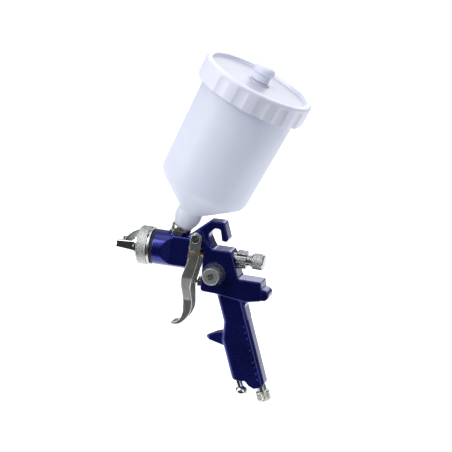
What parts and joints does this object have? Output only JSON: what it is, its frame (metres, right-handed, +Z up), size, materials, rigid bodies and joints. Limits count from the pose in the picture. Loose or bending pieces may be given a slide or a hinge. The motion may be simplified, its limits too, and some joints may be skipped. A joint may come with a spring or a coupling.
{
  "type": "gravity-feed spray gun",
  "caption": "Gravity-feed spray gun: cast pistol body with hanging hook, forked trigger, horned air cap, adjusting knobs and a tilted plastic cup with a vented lid.",
  "frame": {"origin": "on the spray axis at the mouth of the fluid nozzle", "axes": "+X the spray direction, +Z up with the gun held level, +Y to the gun's left, the side of the pattern knob"},
  "size_m": [0.1638, 0.1026, 0.3122],
  "materials": {
    "blue_paint": "gloss",
    "chrome": "polished",
    "satin_steel": "satin",
    "nickel_knurl": "satin",
    "brass": "satin",
    "black_rubber": "matte",
    "cup_plastic": "translucent",
    "lid_plastic": "satin",
    "ptfe": "matte"
  },
  "bodies": {
    "gun": {"gun_body": "blue_paint", "head_seal": "black_rubber", "fluid_nozzle": "satin_steel", "air_baffle": "brass", "needle_packing": "ptfe", "packing_nut": "brass", "needle_spring": "satin_steel", "fluid_guide": "satin_steel", "pivot_stud": "chrome", "pivot_screw": "chrome", "air_valve_gland": "chrome", "air_valve_spring": "satin_steel", "pattern_bushing": "satin_steel", "inlet_fitting": "satin_steel", "lock_ring": "satin_steel", "paint_strainer": "ptfe", "air_inlet": "satin_steel", "volume_gland": "brass"},
    "needle": {"fluid_needle": "satin_steel", "needle_collar": "brass", "spring_button": "brass"},
    "air_cap": {"air_cap": "chrome"},
    "retaining_ring": {"retaining_ring": "nickel_knurl"},
    "fluid_lock_nut": {"fluid_lock_nut": "nickel_knurl"},
    "fluid_knob": {"fluid_knob": "nickel_knurl"},
    "trigger": {"trigger": "chrome"},
    "pull_bar": {"pull_bar": "satin_steel"},
    "air_valve": {"air_valve_stem": "satin_steel", "air_valve_poppet": "ptfe"},
    "pattern_control": {"pattern_spindle": "satin_steel", "pattern_knob": "nickel_knurl", "pattern_knob_screw": "satin_steel"},
    "cup": {"cup": "cup_plastic"},
    "lid": {"lid": "lid_plastic", "lid_gasket": "ptfe"},
    "vent_cap": {"vent_cap": "lid_plastic"},
    "volume_control": {"volume_spindle": "satin_steel", "volume_knob": "chrome"}
  },
  "joints": [
    {"name": "trigger_pull", "type": "hinge", "parent": "gun", "child": "trigger", "pos_m": [-0.0694, 0, 0.0157], "axis": [0, 1, 0], "range_deg": [0, 10.5], "stiffness_Nm_per_rad": 3, "springref_deg": -8.59},
    {"name": "pull_bar_turn", "type": "hinge", "parent": "trigger", "child": "pull_bar", "pos_m": [-0.0674, 0, 0], "axis": [0, 1, 0], "range_deg": [-10.5, 0]},
    {"name": "needle_slide", "type": "slide", "parent": "gun", "child": "needle", "axis": [-1, 0, 0], "range_m": [0, 0.0029], "deforming": ["needle_spring"]},
    {"name": "air_valve_slide", "type": "slide", "parent": "gun", "child": "air_valve", "axis": [-1, 0, 0], "range_m": [0, 0.0078], "deforming": ["air_valve_spring"]},
    {"name": "air_cap_turn", "type": "hinge", "parent": "gun", "child": "air_cap", "pos_m": [-0.0174, 0, 0], "axis": [1, 0, 0], "range_deg": [-90, 90]},
    {"name": "retaining_ring_turn", "type": "hinge", "parent": "gun", "child": "retaining_ring", "pos_m": [-0.0214, 0, 0], "axis": [1, 0, 0], "range_deg": [0, 900]},
    {"name": "fluid_knob_turn", "type": "hinge", "parent": "gun", "child": "fluid_knob", "pos_m": [-0.1244, 0, 0], "axis": [-1, 0, 0], "range_deg": [0, 1170]},
    {"name": "lock_nut_turn", "type": "hinge", "parent": "gun", "child": "fluid_lock_nut", "pos_m": [-0.1104, 0, 0], "axis": [-1, 0, 0], "range_deg": [0, 390]},
    {"name": "pattern_turn", "type": "hinge", "parent": "gun", "child": "pattern_control", "pos_m": [-0.0889, 0.012, -0.0137], "axis": [0, 1, 0], "range_deg": [0, 810]},
    {"name": "volume_turn", "type": "hinge", "parent": "gun", "child": "volume_control", "pos_m": [-0.11982, 0, -0.12039], "axis": [-0.3355, 0, -0.9421], "range_deg": [0, 630]},
    {"name": "cup_turn", "type": "hinge", "parent": "gun", "child": "cup", "pos_m": [-0.05873, 0, 0.03686], "axis": [-0.3883, 0, 0.9215], "range_deg": [0, 1080]},
    {"name": "lid_lift", "type": "slide", "parent": "cup", "child": "lid", "axis": [-0.3883, 0, 0.9215], "range_m": [0, 0.045]},
    {"name": "vent_cap_lift", "type": "slide", "parent": "lid", "child": "vent_cap", "axis": [-0.3883, 0, 0.9215], "range_m": [0, 0.014]}
  ],
  "couplings": [
    {"joint": "pull_bar_turn", "follows": "trigger_pull", "ratio": -1},
    {"joint": "needle_slide", "follows": "trigger_pull", "m_per_rad": 0.0157},
    {"joint": "air_valve_slide", "follows": "trigger_pull", "m_per_rad": 0.0423}
  ]
}
